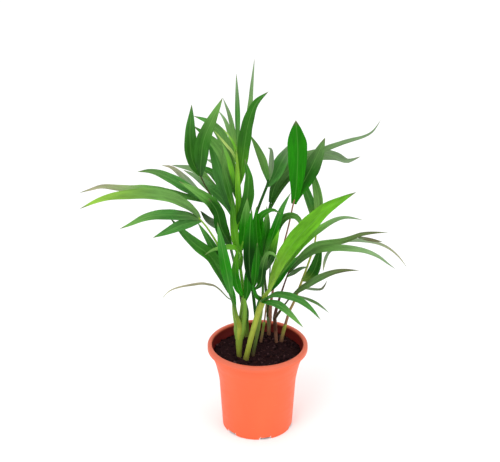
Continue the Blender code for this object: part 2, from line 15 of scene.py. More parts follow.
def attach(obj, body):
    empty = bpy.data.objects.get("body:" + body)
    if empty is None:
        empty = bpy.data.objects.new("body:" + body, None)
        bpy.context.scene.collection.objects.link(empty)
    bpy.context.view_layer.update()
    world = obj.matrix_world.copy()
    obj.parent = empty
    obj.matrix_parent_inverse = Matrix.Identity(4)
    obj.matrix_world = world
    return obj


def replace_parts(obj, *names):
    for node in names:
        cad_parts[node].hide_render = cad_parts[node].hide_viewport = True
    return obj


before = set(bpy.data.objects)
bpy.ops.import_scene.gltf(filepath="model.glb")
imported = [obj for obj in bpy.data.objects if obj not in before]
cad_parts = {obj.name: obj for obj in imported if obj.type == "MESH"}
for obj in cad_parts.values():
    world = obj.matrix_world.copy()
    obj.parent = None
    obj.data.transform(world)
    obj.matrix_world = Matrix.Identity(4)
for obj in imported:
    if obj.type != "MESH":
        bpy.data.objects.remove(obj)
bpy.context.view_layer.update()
MM = 0.001

# -------- driving dimensions (mm)
POT_BASE_RADIUS = 42.4
POT_WALL = 1.2
POT_FLOOR = 2.0
POT_SHOULDER_Z = 60.0
POT_SHOULDER_RADIUS = 46.0
POT_FLARE_TOP_Z = 102.5
POT_FLARE_TOP_RADIUS = 55.6
FLARE_CURVE = 1.35
RIM_RADIUS = 60.0
RIM_OPENING_RADIUS = 54.6

FOOT_NOTCHES = 6
FOOT_NOTCH_WIDTH = 16.0
FOOT_NOTCH_HEIGHT = 3.0
FOOT_NOTCH_INNER_RADIUS = 37.0
FOOT_NOTCH_LEAN = 3.0
FIRST_NOTCH_ANGLE = -77.0

SOIL_LEVEL = 98.0
SOIL_BUMP = 1.3

SEAT_LENGTH = 6.0
BLADE_FOLD = 0.16
WIDEST_AT = 0.45
LEAFLET_FOOT = 0.28
BROAD_LEAFLET = 17.0
BROAD_SHIFT = 0.08
TIP_TAPER = 1.7

# -------- stems (mm)
# name: centreline from the soil surface up, radius at the soil, radius at the top
STEMS = {
    "stem_left": ([(-22, -11, 98), (-22, -12, 116), (-21, -12, 134)], 2.8, 5.4),
    "stem_front": ([(-14, -18, 98), (-7, -18, 130), (3, -12, 167)], 3.2, 3.4),
    "stem_brown": ([(-6, -10, 98), (-1, -3, 120), (3, 1, 142)], 2.2, 2.2),
    "stem_back_left": ([(-13, 38, 98), (-14, 38, 112), (-15, 37, 128)], 3.4, 3.8),
    "stem_back": ([(-1, 34, 98), (-1, 34, 112), (-2, 34, 125)], 1.9, 2.0),
    "stem_small": ([(4, 23, 98), (6, 21, 112), (8, 18, 128)], 1.6, 1.8),
    "stem_back_right": ([(14, 41, 98), (14, 41, 110), (14, 41, 123)], 2.1, 2.8),
    "stem_red": ([(23, 23, 98), (22, 22, 112), (21, 20, 127)], 1.8, 2.6),
    "stem_right": ([(29, 25, 98), (31, 25, 109), (34, 25, 122)], 2.2, 2.2),
}

# -------- fronds (mm)
# name: (stem, seat angle on the stem's top, seat offset, stalk centreline above the seat,
#        stalk radius at the foot and at the top, leaflets)
# leaflet: (centreline from the stalk to the tip, width, azimuth and elevation it faces)
FRONDS = {
    "frond_left_low": ("stem_left", 170, 3.4, [
        (-27, -15, 160), (-29, -20, 184), (-35, -30, 218), (-43, -38, 251), (-55, -46, 278),
        (-66, -54, 297)], (2.3, 0.9), [
        ([(-64, -52, 294), (-68, -60, 305), (-78, -74, 320), (-93, -88, 334), (-114, -100, 343),
          (-144, -112, 346), (-164, -118, 344), (-186, -122, 335)], 12.5, (-80, 40)),
        ([(-64, -52, 293), (-74, -66, 303), (-88, -82, 311), (-104, -100, 319), (-119, -114, 322),
          (-133, -124, 319), (-145, -128, 315)], 11.0, (-75, 35)),
        ([(-63, -51, 291), (-72, -64, 295), (-84, -82, 299), (-99, -100, 299), (-112, -110, 297)], 11.0,
          (-70, 30)),
        ([(-28, -19, 176), (-35, -30, 186), (-46, -46, 206), (-55, -58, 216), (-65, -70, 223),
          (-76, -80, 226), (-86, -88, 228), (-97, -96, 227), (-106, -101, 219)], 4.5, (-90, 60)),
    ]),
    "frond_centre": ("stem_left", 350, 3.4, [
        (-15, -14, 171), (-20, -15, 213), (-19, -18, 240), (-17, -20, 252)], (2.1, 1.2), [
        ([(-19, -18, 240), (-16, -22, 261), (-14, -26, 285), (-12, -28, 309)], 12.5, (-80, 20)),
        ([(-20, -16, 224), (-25, -18, 253), (-28, -16, 276), (-30, -14, 300)], 9.0, (-110, 20)),
        ([(-20, -15, 213), (-22, -36, 246), (-31, -50, 258), (-40, -58, 261), (-51, -66, 262),
          (-59, -72, 259)], 9.5, (-90, 55)),
        ([(-17, -14, 178), (-23, -25, 196), (-26, -30, 215), (-25, -33, 235), (-23, -35, 252)], 9.0,
          (-95, 15)),
        ([(-15, -14, 172), (-12, -20, 190), (-12, -24, 210), (-11, -26, 232)], 8.5, (-85, 15)),
    ]),
    "frond_top": ("stem_left", 80, 3.4, [
        (-18, -4, 160), (-17, 0, 181), (-23, 0, 232), (-26, 0, 257), (-25, 0, 276), (-24, 4, 305),
        (-23, 8, 334), (-23, 10, 356)], (2.1, 1.0), [
        ([(-23, 10, 352), (-23, 8, 399), (-24, 4, 443)], 5.5, (-80, 10)),
        ([(-24, 4, 306), (-19, 1, 330), (-12, -4, 382), (-3, -14, 413), (11, -30, 433)], 14.5, (-110, 25)),
        ([(-23, 8, 333), (-17, 14, 352), (-10, 20, 395), (-7, 26, 425), (-4, 30, 452)], 6.0, (-70, 15)),
        ([(-23, 8, 336), (-26, 16, 358), (-31, 30, 382), (-40, 50, 400)], 6.0, (-130, 30)),
        ([(-23, 8, 331), (-27, 20, 350), (-36, 40, 373), (-46, 60, 382)], 5.5, (-120, 35)),
        ([(-24, 4, 306), (-32, 20, 336), (-41, 36, 358), (-55, 52, 369), (-75, 66, 373)], 12.0, (-110, 50)),
        ([(-24, 2, 296), (-32, 12, 323), (-41, 22, 343), (-54, 32, 356), (-75, 44, 369)], 12.5, (-100, 50)),
        ([(-26, 0, 276), (-38, 22, 300), (-46, 44, 322), (-59, 70, 352)], 16.0, (-120, 35)),
        ([(-26, 0, 255), (-14, -8, 292), (-11, -14, 325), (-15, -18, 352)], 14.0, (-70, 20)),
        ([(-25, 0, 267), (-32, -5, 306), (-38, -4, 332), (-40, 0, 358)], 7.0, (-120, 25)),
        ([(-26, 0, 250), (-22, -5, 284), (-23, -5, 321), (-24, -3, 358)], 6.5, (-80, 10)),
    ]),
    "frond_left_dark": ("stem_left", 260, 3.4, [
        (-25, -24, 160), (-30, -36, 188), (-37, -42, 210)], (1.8, 1.2), [
        ([(-33, -38, 197), (-41, -46, 222), (-53, -52, 248), (-70, -62, 268), (-82, -72, 286),
          (-95, -84, 309)], 14.0, (-60, 30)),
        ([(-30, -36, 188), (-36, -56, 236), (-41, -74, 278), (-44, -84, 304)], 11.5, (-90, 15)),
        ([(-35, -40, 206), (-44, -44, 241), (-56, -49, 269), (-67, -56, 292)], 9.5, (-80, 25)),
        ([(-26, -25, 166), (-29, -32, 188), (-36, -39, 211), (-43, -42, 229), (-46, -44, 246)], 7.5,
          (-75, 20)),
    ]),
    "frond_left_pair": ("stem_back_left", 250, 2.3, [
        (-21, 33, 160), (-26, 30, 192), (-37, 20, 245), (-43, 12, 275), (-57, 5, 304),
        (-62, 0, 317), (-66, -4, 329)], (1.5, 0.9), [
        ([(-65, -3, 326), (-73, -12, 347), (-75, -20, 378), (-72, -25, 417)], 14.0, (-75, 20)),
        ([(-65, -3, 325), (-63, -20, 350), (-58, -32, 382), (-38, -42, 430)], 15.5, (-100, 20)),
    ]),
    "frond_left_upper": ("stem_back_left", 10, 2.3, [
        (-18, 24, 165), (-28, -4, 223), (-33, -6, 250), (-40, -12, 276), (-50, -20, 294),
        (-59, -25, 304)], (1.4, 0.8), [
        ([(-58, -24, 303), (-70, -32, 316), (-86, -40, 330), (-102, -46, 342), (-117, -50, 349),
          (-131, -54, 350)], 12.0, (-75, 40)),
        ([(-56, -23, 301), (-72, -14, 315), (-84, -6, 325), (-97, 0, 334), (-109, 2, 336)], 7.5, (-75, 40)),
        ([(-57, -24, 302), (-81, -36, 314), (-118, -52, 328), (-141, -62, 333), (-166, -72, 340),
          (-180, -76, 338), (-192, -78, 335)], 9.5, (-75, 45)),
        ([(-36, -8, 262), (-47, -14, 269), (-57, -20, 279), (-65, -24, 292)], 9.5, (-60, 40)),
        ([(-35, -9, 258), (-43, -27, 286), (-52, -36, 306), (-68, -44, 323), (-87, -50, 338)], 13.0,
          (-80, 35)),
        ([(-31, -6, 240), (-41, -26, 270), (-46, -37, 297), (-55, -46, 316)], 14.0, (-80, 25)),
    ]),
    "frond_left_back": ("stem_back_left", 130, 2.3, [
        (-18, 42, 165), (-22, 40, 210), (-27, 34, 255), (-33, 28, 283)], (1.4, 1.0), [
        ([(-32, 29, 278), (-47, 30, 292), (-58, 34, 303), (-67, 38, 313), (-79, 42, 317), (-101, 50, 318)],
          9.5, (-75, 40)),
        ([(-30, 31, 262), (-37, 26, 280), (-54, 28, 297), (-71, 34, 309), (-87, 40, 316)], 11.0, (-75, 35)),
        ([(-33, 28, 282), (-43, 42, 309), (-49, 64, 314), (-62, 88, 311)], 9.5, (-100, 50)),
        ([(-31, 30, 272), (-45, 52, 297), (-58, 74, 301), (-79, 92, 302)], 11.5, (-80, 50)),
    ]),
    "frond_right_bright": ("stem_front", 20, 2.0, [
        (8, -14, 180), (13, -22, 191), (21, -30, 213)], (1.8, 1.6), [
        ([(13, -22, 193), (24, -36, 231), (40, -48, 264), (60, -60, 294), (76, -66, 313), (93, -70, 326),
          (105, -72, 334)], 18.5, (-110, 35)),
        ([(17, -26, 203), (42, -30, 243), (58, -34, 264), (80, -38, 283), (96, -42, 291), (116, -46, 290)],
          9.0, (-100, 45)),
        ([(8, -14, 181), (19, -18, 196), (30, -19, 213), (39, -20, 225), (48, -21, 236)], 8.5, (-95, 50)),
    ]),
    "frond_inner": ("stem_front", 140, 2.0, [
        (-2, -18, 182), (-5, -26, 197), (-6, -30, 208)], (1.6, 1.3), [
        ([(-5, -27, 199), (-9, -32, 218), (-10, -36, 245), (-9, -38, 275), (-7, -38, 301)], 12.0,
          (-100, 15)),
        ([(-5, -26, 197), (-3, -38, 218), (-2, -43, 240), (-1, -45, 262)], 10.0, (-80, 15)),
        ([(-4, -24, 193), (3, -40, 210), (6, -50, 238), (11, -57, 254), (18, -62, 255), (22, -64, 246)],
          8.0, (-80, 40)),
    ]),
    "frond_front_right": ("stem_front", 260, 2.0, [
        (5, -22, 177), (9, -30, 185)], (1.2, 1.0), [
        ([(6, -24, 179), (19, -36, 192), (31, -46, 196), (45, -58, 197), (58, -68, 192), (70, -78, 182)],
          9.5, (-90, 60)),
        ([(5, -22, 176), (16, -40, 184), (27, -54, 186), (38, -66, 181), (51, -76, 171)], 8.5, (-100, 55)),
    ]),
    "frond_cluster": ("stem_brown", 0, 0.0, [
        (6, 0, 177), (5, -6, 208), (4, -8, 229)], (2.0, 1.4), [
        ([(4, -7, 220), (0, -12, 244), (-2, -16, 268), (-2, -18, 294)], 11.0, (-100, 20)),
        ([(5.5, -3, 190), (-2, 2, 214), (-3, 3, 247), (-1, 4, 286)], 11.5, (-75, 18)),
        ([(4, -8, 226), (8, -7, 250), (10, -4, 270), (10, 2, 287)], 9.5, (-80, 20)),
        ([(5, -7, 215), (15, -12, 250), (22, -12, 273), (28, -12, 291), (37, -14, 310)], 9.0, (-100, 25)),
        ([(5, -6, 206), (14, -24, 232), (19, -32, 254), (24, -38, 276)], 10.5, (-110, 25)),
        ([(4, -8, 227), (1, -11, 249), (1, -13, 266), (3, -15, 280), (10, -16, 287), (18, -16, 289),
          (26, -17, 284)], 10.0, (-90, 45)),
    ]),
    "frond_arched": ("stem_small", 0, 0.0, [
        (11, 15, 160), (14, 14, 190), (15, 13, 226)], (1.1, 0.8), [
        ([(15, 13, 222), (19, 9, 246), (24, 7, 261), (33, 4, 272), (43, 0, 274), (50, -4, 266),
          (54, -7, 253)], 9.5, (-90, 45)),
    ]),
    "frond_middle": ("stem_back", 0, 0.0, [
        (-7, 34, 178), (-8, 34, 218), (-8, 32, 240), (1, 28, 274), (11, 26, 303),
        (12, 26, 309)], (2.2, 1.8), [
        ([(12, 26, 306), (9, 23, 320), (6, 20, 334), (-1, 17, 352), (-9, 14, 368)], 9.0, (-110, 25)),
        ([(11, 26, 301), (19, 30, 312), (27, 34, 328), (35, 38, 341), (41, 42, 351)], 15.0, (-100, 20)),
        ([(12, 26, 306), (15, 20, 326), (15, 12, 350), (10, 2, 357)], 6.0, (-100, 25)),
    ]),
    "frond_bifid": ("stem_back_right", -20, 1.7, [
        (17, 38, 150), (21, 34, 176), (29, 28, 219), (36, 18, 256), (40, 10, 283),
        (42, 8, 292)], (1.3, 1.0), [
        ([(41, 9, 286), (43, 5, 302), (44, 0, 326), (44, -6, 360), (41, -14, 395)], 20.5, (-95, 15)),
        ([(41, 9, 286), (46, 7, 302), (54, 4, 320), (64, -2, 345), (74, -8, 373)], 18.0, (-80, 20)),
    ]),
    "frond_high_right": ("stem_back_right", 110, 1.7, [
        (9, 48, 170), (7, 49, 215), (7, 48, 242), (13, 49, 262), (16, 49, 276)], (1.5, 1.2), [
        ([(15, 49, 271), (20, 50, 291), (30, 53, 306), (43, 57, 316), (58, 63, 321), (75, 70, 323),
          (92, 76, 319), (105, 80, 312), (112, 82, 312), (123, 84, 316)], 16.0, (-100, 35)),
        ([(13, 49, 259), (26, 52, 285), (44, 49, 311), (62, 44, 329), (78, 38, 342), (94, 34, 350),
          (107, 30, 356), (121, 26, 362), (130, 24, 369), (138, 20, 384)], 7.5, (-100, 45)),
    ]),
    "frond_right_low": ("stem_red", 90, 1.6, [
        (24, 22, 150), (32, 12, 184), (38, 4, 207)], (1.3, 1.0), [
        ([(37, 5, 204), (49, 0, 223), (60, -3, 235), (71, -6, 242), (94, -12, 248), (107, -15, 254),
          (118, -16, 259), (133, -18, 262), (148, -20, 263)], 7.5, (-95, 50)),
        ([(112, -15, 255.5), (127, -22, 255), (141, -28, 255)], 4.0, (-95, 50)),
        ([(88, -34, 250.5), (80, -32, 244), (76, -30, 233), (74, -28, 217)], 3.5, (-95, 30)),
        ([(36, 6, 200), (48, -6, 220), (58, -15, 233), (70, -25, 244), (87, -34, 250), (103, -40, 252),
          (119, -46, 252), (134, -50, 247), (145, -54, 240), (154, -56, 234)], 8.5, (-90, 50)),
        ([(34, 9, 193), (42, -8, 207), (50, -16, 216), (58, -24, 222)], 6.0, (-95, 45)),
    ]),
    "frond_right_olive": ("stem_red", 270, 1.6, [
        (27, 6, 150), (33, -2, 164), (39, -10, 177)], (1.2, 1.0), [
        ([(38, -9, 175), (49, -18, 190), (60, -25, 201), (71, -32, 212), (84, -38, 221), (98, -44, 227),
          (114, -50, 230)], 8.0, (-95, 45)),
    ]),
    "frond_right_fork": ("stem_right", 0, 0.0, [
        (39, 26, 140), (44, 26, 152), (50, 27, 170), (59, 29, 197), (67, 32, 224),
        (70, 34, 250)], (2.0, 1.0), [
        ([(70, 34, 246), (63, 36, 270), (56, 42, 290), (50, 50, 312)], 10.5, (-70, 25)),
        ([(70, 34, 246), (71, 31, 272), (68, 28, 296), (60, 22, 328)], 10.0, (-90, 25)),
        ([(63, 30, 210), (73, 30, 223), (86, 34, 225), (110, 44, 224), (135, 54, 218), (156, 60, 208),
          (171, 64, 194), (184, 68, 176)], 5.0, (-90, 55)),
        ([(53, 27, 180), (61, 15, 190), (67, 8, 205), (71, 9, 221), (74, 13, 236)], 12.5, (-100, 20)),
        ([(49, 27, 168), (56, 31, 167), (67, 38, 162), (77, 44, 159), (82, 50, 162), (85, 54, 167)], 4.0,
          (-90, 60)),
        ([(47, 26, 160), (56, 23, 158), (68, 24, 152), (78, 28, 143), (87, 32, 133)], 4.0, (-90, 55)),
    ]),
}

# -------- colours (sRGB, 0 to 255)
PALETTE = {
    "shade": (10, 66, 0),
    "dark": (34, 98, 16),
    "green": (54, 120, 30),
    "vivid": (34, 136, 4),
    "cool": (76, 142, 60),
    "light": (110, 162, 78),
    "lime": (108, 184, 38),
    "yellow": (150, 196, 66),
    "cream": (196, 224, 122),
    "sage": (134, 158, 122),
    "olive": (70, 78, 38),
    "moss": (96, 136, 74),
    "brown": (112, 104, 78),
    "straw": (176, 166, 140),
    "maroon": (96, 60, 46),
    "blush": (172, 122, 96),
    "cane": (168, 184, 66),
    "cane_green": (128, 164, 60),
    "pot": (233, 100, 60),
    # the lip's duller, pinker orange is painted sheen, standing in for grazing reflection on the rolled lip
    "pot_lip": (208, 100, 73),
    # the inner wall's dark red is painted shade: the wall in the shadow of the rim
    "pot_inside": (100, 22, 18),
}

# colours of each stem at the soil and at its top
STEM_LOOKS = {
    "stem_left": ("cane", "cane_green"),
    "stem_front": ("cane", "cane"),
    "stem_brown": ("olive", "cane_green"),
    "stem_back_left": ("cane_green", "green"),
    "stem_back": ("cane_green", "green"),
    "stem_small": ("blush", "cane_green"),
    "stem_back_right": ("blush", "moss"),
    "stem_red": ("blush", "maroon"),
    "stem_right": ("blush", "cane"),
}

# stalk colours at its foot and top, then the colours of each leaflet at its foot, middle and tip
FROND_LOOKS = {
    "frond_left_low": ("cane_green", "yellow", [
        ("moss", "light", "yellow"), ("moss", "cool", "light"), ("cool", "cool", "cool"),
        ("sage", "straw", "straw")]),
    "frond_centre": ("cane_green", "lime", [
        ("vivid", "vivid", "light"), ("vivid", "lime", "green"), ("green", "lime", "light"),
        ("vivid", "vivid", "lime"), ("dark", "vivid", "shade")]),
    "frond_top": ("cane_green", "lime", [
        ("light", "cool", "sage"), ("lime", "green", "green"), ("green", "light", "sage"),
        ("yellow", "light", "sage"), ("lime", "light", "sage"), ("lime", "light", "cool"),
        ("green", "light", "green"), ("shade", "cool", "green"), ("dark", "green", "green"),
        ("lime", "green", "light"), ("lime", "lime", "yellow")]),
    "frond_left_dark": ("cane", "green", [
        ("cool", "green", "cool"), ("cool", "vivid", "cool"), ("green", "dark", "cool"),
        ("green", "vivid", "green")]),
    "frond_left_pair": ("olive", "olive", [
        ("green", "green", "cool"), ("dark", "green", "light")]),
    "frond_left_upper": ("green", "cool", [
        ("cool", "cool", "moss"), ("light", "sage", "straw"), ("cool", "light", "straw"),
        ("cool", "sage", "shade"), ("shade", "green", "light"), ("green", "dark", "dark")]),
    "frond_left_back": ("cane_green", "green", [
        ("green", "light", "sage"), ("cool", "cool", "sage"), ("shade", "light", "sage"),
        ("shade", "green", "green")]),
    "frond_right_bright": ("cane", "yellow", [
        ("yellow", "lime", "lime"), ("light", "lime", "sage"), ("dark", "vivid", "cool")]),
    "frond_inner": ("green", "vivid", [
        ("shade", "shade", "vivid"), ("dark", "vivid", "dark"), ("dark", "shade", "light")]),
    "frond_front_right": ("cane", "green", [
        ("green", "cool", "cool"), ("vivid", "cool", "light")]),
    "frond_cluster": ("cane_green", "green", [
        ("dark", "vivid", "vivid"), ("vivid", "light", "vivid"), ("cool", "vivid", "light"),
        ("light", "vivid", "cool"), ("light", "dark", "lime"), ("cool", "vivid", "green")]),
    "frond_arched": ("blush", "green", [("light", "green", "light")]),
    "frond_middle": ("dark", "dark", [
        ("cool", "light", "light"), ("cool", "cool", "sage"), ("light", "sage", "sage")]),
    "frond_bifid": ("blush", "blush", [
        ("vivid", "vivid", "vivid"), ("vivid", "dark", "moss")]),
    "frond_high_right": ("olive", "dark", [
        ("dark", "moss", "sage"), ("green", "moss", "sage")]),
    "frond_right_low": ("maroon", "maroon", [
        ("moss", "light", "brown"), ("sage", "brown", "brown"), ("sage", "sage", "straw"),
        ("shade", "light", "sage"), ("green", "moss", "sage")]),
    "frond_right_olive": ("maroon", "olive", [("olive", "moss", "brown")]),
    "frond_right_fork": ("blush", "cane", [
        ("cane_green", "cool", "vivid"), ("cane_green", "light", "green"), ("light", "sage", "straw"),
        ("cane_green", "dark", "green"), ("sage", "sage", "maroon"), ("sage", "moss", "sage")]),
}

# folded new leaflets, too fine to be solids, each with its width, facing and colours
NEW_LEAFLETS = {
    "frond_top": [
        ([(-27, 0, 309), (-29, -6, 330), (-33, -9, 348), (-41, -6, 368)], 5.4, (-100, 25),
         ("green", "lime", "light")),
        ([(-24, 0, 338), (-28, -5, 353), (-36, -6, 364), (-50, -4, 381)], 2.6, (-100, 25),
         ("lime", "cream", "cream")),
        ([(-23, 2, 347), (-26, -4, 361), (-32, -5, 373), (-41, -3, 384)], 2.2, (-100, 25),
         ("lime", "lime", "cream")),
    ],
}

# -------- the look's own dimensions (mm)
ROUND = 2 * math.pi
CURVE_STEPS = 12

POT_HEIGHT = 110.0
POT_SIDES = 192
POT_STEP = 2.5
STACKING_LEDGE = 0.35
STACKING_LEDGE_Z = 90.0
LIP_ROUND = 2.7
LIP_INNER_ROUND = 1.6
# height and span over which the lip turns to its painted-sheen colour
LIP_FADE_Z = 103.0
LIP_FADE = 5.0
# height and span over which the inner wall darkens into painted shade
INSIDE_FADE_Z = 108.6
INSIDE_FADE = 2.2
NOTCH_ROUND = 0.8

SOIL_SIDES = 144
SOIL_RINGS = 56
SOIL_WALL_ROOM = 0.5
SOIL_EDGE_FALL = 1.5
SOIL_EDGE_WIDTH = 3.0
LUMP_SIZE = 6.5
LUMP_HEIGHT = 1.3
GRIT_SIZE = 1.9
GRIT_HEIGHT = 0.8
CRUMB_COUNT = 620
CRUMB_REACH = 51.0
CRUMB_SIZES = (0.5, 2.0)
FIBRE_COUNT = 46
FIBRE_REACH = 47.0
FIBRE_POINTS = 7
FIBRE_SIDES = 6
FIBRE_ARCH = 0.6

STEM_STEP = 2.5
STEM_SIDES = 20
STEM_DEPTHS = (18.0, 12.0, 6.0)
STEM_SWELL = 0.35
STEM_SWELL_REACH = 4.0
SCAR_DEPTH = 0.22
SCAR_SPACING = 17.0
EARTHY_REACH = 6.0
EARTHY_SHARE = 0.55
STEM_TOP_ROUND = 0.8

STALK_STEP = 4.0
STALK_SIDES = 14
STALK_FLATNESS = 0.85
SHEATH_DEPTH = 12.0
SHEATH_REACH = 32.0
SHEATH_SWELL = 0.9
SHEATH_NARROWING = 0.35

LEAF_STEP = 4.0
LEAF_HALVES = 6
LEAF_THICKNESS = 0.42
LEAF_WIDEN = 1.08
MIDRIB_DEPTH = 0.55
PLEAT_DEPTH = 0.32
PLEAT_BLADE = 6.0
MARGIN_WAVE = 0.07
MARGIN_LAG = 1.4
MARGIN_THINNING = 0.55
TIP_THINNING = 0.4
GRAIN_SHIFT = 13.7
DRY_TIP = 0.03
DRY_SHARE = 0.8
TINT_RISE = 0.42
PALE_UNDERSIDE = 0.12
LEAF_ALBEDO = 0.74

# -------- finishes (linear RGB)
SOIL_BLACK = Vector((0.017, 0.006, 0.007))
SOIL_FLAKE = (0.050, 0.018, 0.016, 1.0)
CRUMB_TONES = [(0.010, 0.004, 0.005), (0.018, 0.006, 0.007), (0.034, 0.011, 0.010),
               (0.042, 0.016, 0.017), (0.062, 0.030, 0.032)]
CRUMB_FLAKE = (0.060, 0.028, 0.030, 1.0)
FIBRE_TONE = Vector((0.070, 0.030, 0.026))
FIBRE_FLAKE = (0.15, 0.075, 0.06, 1.0)
SOIL_DUST = (0.9, 0.55, 0.45, 1.0)
FLOOR_WHITE = (0.97, 0.97, 0.97, 1.0)
NOISE_RANGE = (0.3, 0.7)

# -------- stage (m)
FLOOR_HALF = 9.0
WORLD_STRENGTH = 1.02
LIGHT_TARGET = (0, 0, 0.2)
# softbox: (name, place, size, watts)
SOFTBOXES = [
    ("key_softbox", (-0.9, -1.5, 2.1), 1.3, 24.0),
    ("fill_softbox", (1.6, -1.1, 1.2), 1.4, 8.0),
]
CAMERA_PLACE = (-0.0091, -1.311, 0.8395)
CAMERA_DIP = 23.99
CAMERA_LENS = 89.93
CAMERA_SENSOR = 36.0


def linear(name):
    """A palette colour as linear RGB."""
    return Vector([(c / 255 / 12.92) if c <= 10 else ((c / 255 + 0.055) / 1.055) ** 2.4
                   for c in PALETTE[name]])


def clamped(value):
    """The value kept between 0 and 1."""
    return max(0.0, min(1.0, value))


def smooth_points(points, count):
    """Evenly spaced points along the Catmull-Rom curve through the given ones."""
    knots = [Vector(p) for p in points]
    knots = [2 * knots[0] - knots[1]] + knots + [2 * knots[-1] - knots[-2]]
    dense = []
    for i in range(1, len(knots) - 2):
        a, b, c, d = knots[i - 1:i + 3]
        for k in range(CURVE_STEPS):
            t = k / CURVE_STEPS
            dense.append(0.5 * (2 * b + (c - a) * t + (2 * a - 5 * b + 4 * c - d) * t * t
                                + (3 * b - a - 3 * c + d) * t ** 3))
    dense.append(knots[-2])
    lengths = [0.0]
    for p, q in zip(dense, dense[1:]):
        lengths.append(lengths[-1] + (q - p).length)
    spaced = []
    j = 0
    for i in range(count):
        wanted = lengths[-1] * i / (count - 1)
        while j < len(dense) - 2 and lengths[j + 1] < wanted:
            j += 1
        step = lengths[j + 1] - lengths[j]
        spaced.append(dense[j].lerp(dense[j + 1], (wanted - lengths[j]) / step if step else 0.0))
    return spaced


def tangents_of(points):
    """Unit directions along a line of points."""
    last = len(points) - 1
    return [(points[min(i + 1, last)] - points[max(i - 1, 0)]).normalized()
            for i in range(last + 1)]


def length_of(points):
    """Length of a line of points."""
    return sum((Vector(q) - Vector(p)).length for p, q in zip(points, points[1:]))


class Surface:
    """Points and faces of one piece, with a colour and a place in the grain at each point."""

    def __init__(self):
        self.points, self.faces, self.slots = [], [], []
        self.tints, self.grains = [], []

    def point(self, place, tint, grain=(0, 0, 0)):
        self.points.append(place * MM)
        self.tints.append(tint)
        self.grains.append(grain)
        return len(self.points) - 1

    def face(self, corners, slot=0):
        self.faces.append(corners)
        self.slots.append(slot)

    def skin(self, rings, slot=0, tip=None):
        """Joins rings of points into a closed skin that ends in a cap or a tip."""
        size = len(rings[0])
        for low, high in zip(rings, rings[1:]):
            for i in range(size):
                j = (i + 1) % size
                self.face((low[i], low[j], high[j], high[i]), slot)
        self.face(tuple(reversed(rings[0])), slot)
        if tip is None:
            self.face(tuple(rings[-1]), slot)
            return
        for i in range(size):
            self.face((rings[-1][i], rings[-1][(i + 1) % size], tip), slot)

    def piece(self, name, materials, sharp=50.0):
        """The finished object."""
        mesh = bpy.data.meshes.new(name)
        mesh.from_pydata(self.points, [], self.faces)
        tint = mesh.attributes.new("tint", "FLOAT_COLOR", "POINT")
        tint.data.foreach_set("color", [v for t in self.tints for v in (*t, 1.0)])
        grain = mesh.attributes.new("grain", "FLOAT_VECTOR", "POINT")
        grain.data.foreach_set("vector", [v for g in self.grains for v in g])
        mesh.polygons.foreach_set("material_index", self.slots)
        for material in materials:
            mesh.materials.append(material)
        turn_outward(mesh)
        mesh.shade_smooth()
        mesh.set_sharp_from_angle(angle=math.radians(sharp))
        made = bpy.data.objects.new(name, mesh)
        bpy.context.scene.collection.objects.link(made)
        return made


def turn_outward(mesh):
    """Faces turned to the outside of each closed skin."""
    body = bmesh.new()
    body.from_mesh(mesh)
    bmesh.ops.recalc_face_normals(body, faces=body.faces[:])
    body.to_mesh(mesh)
    body.free()


# -------- materials
class Nodes:
    """A few short ways to build a material's nodes."""

    def __init__(self, name):
        self.material = bpy.data.materials.new(name)
        self.material.use_nodes = True
        self.tree = self.material.node_tree
        self.shader = self.tree.nodes["Principled BSDF"]

    def add(self, kind, **settings):
        made = self.tree.nodes.new(kind)
        for key, value in settings.items():
            setattr(made, key, value)
        return made

    def feed(self, socket, value):
        if isinstance(value, bpy.types.NodeSocket):
            self.tree.links.new(value, socket)
        else:
            socket.default_value = value

    def attribute(self, name):
        return self.add("ShaderNodeAttribute", attribute_name=name)

    def stretched(self, source, scale):
        node = self.add("ShaderNodeVectorMath", operation="MULTIPLY")
        self.feed(node.inputs[0], source)
        self.feed(node.inputs[1], scale)
        return node.outputs[0]

    def noise(self, source, scale, detail=3.0, roughness=0.55):
        node = self.add("ShaderNodeTexNoise")
        self.feed(node.inputs["Vector"], source)
        self.feed(node.inputs["Scale"], scale)
        self.feed(node.inputs["Detail"], detail)
        self.feed(node.inputs["Roughness"], roughness)
        return node.outputs["Fac"]

    def spread(self, source, low, high, to_low, to_high):
        node = self.add("ShaderNodeMapRange")
        for socket, value in zip(node.inputs, (source, low, high, to_low, to_high)):
            self.feed(socket, value)
        return node.outputs[0]

    def varied(self, source, to_low, to_high):
        """A noise spread between two values, over the range that noise mostly covers."""
        return self.spread(source, *NOISE_RANGE, to_low, to_high)

    def size_of(self, source):
        """The number without its sign."""
        node = self.add("ShaderNodeMath", operation="ABSOLUTE")
        self.feed(node.inputs[0], source)
        return node.outputs[0]

    def mixed(self, share, first, second, blend="MIX"):
        node = self.add("ShaderNodeMix", data_type="RGBA", blend_type=blend)
        self.feed(node.inputs["Factor"], share)
        self.feed(node.inputs["A"], first)
        self.feed(node.inputs["B"], second)
        return node.outputs["Result"]

    def shaded(self, colour, share):
        """The colour made lighter or darker by a number that varies over the surface."""
        grey = self.add("ShaderNodeCombineColor")
        for socket in grey.inputs:
            self.feed(socket, share)
        return self.mixed(1.0, colour, grey.outputs[0], "MULTIPLY")

    def finish(self, colour, roughness, height, bump, depth, **fixed):
        relief = self.add("ShaderNodeBump")
        self.feed(relief.inputs["Height"], height)
        relief.inputs["Strength"].default_value = bump
        relief.inputs["Distance"].default_value = depth * MM
        self.feed(self.shader.inputs["Normal"], relief.outputs[0])
        self.feed(self.shader.inputs["Base Color"], colour)
        self.feed(self.shader.inputs["Roughness"], roughness)
        for key, value in fixed.items():
            self.shader.inputs[key.replace("_", " ")].default_value = value
        return self.material


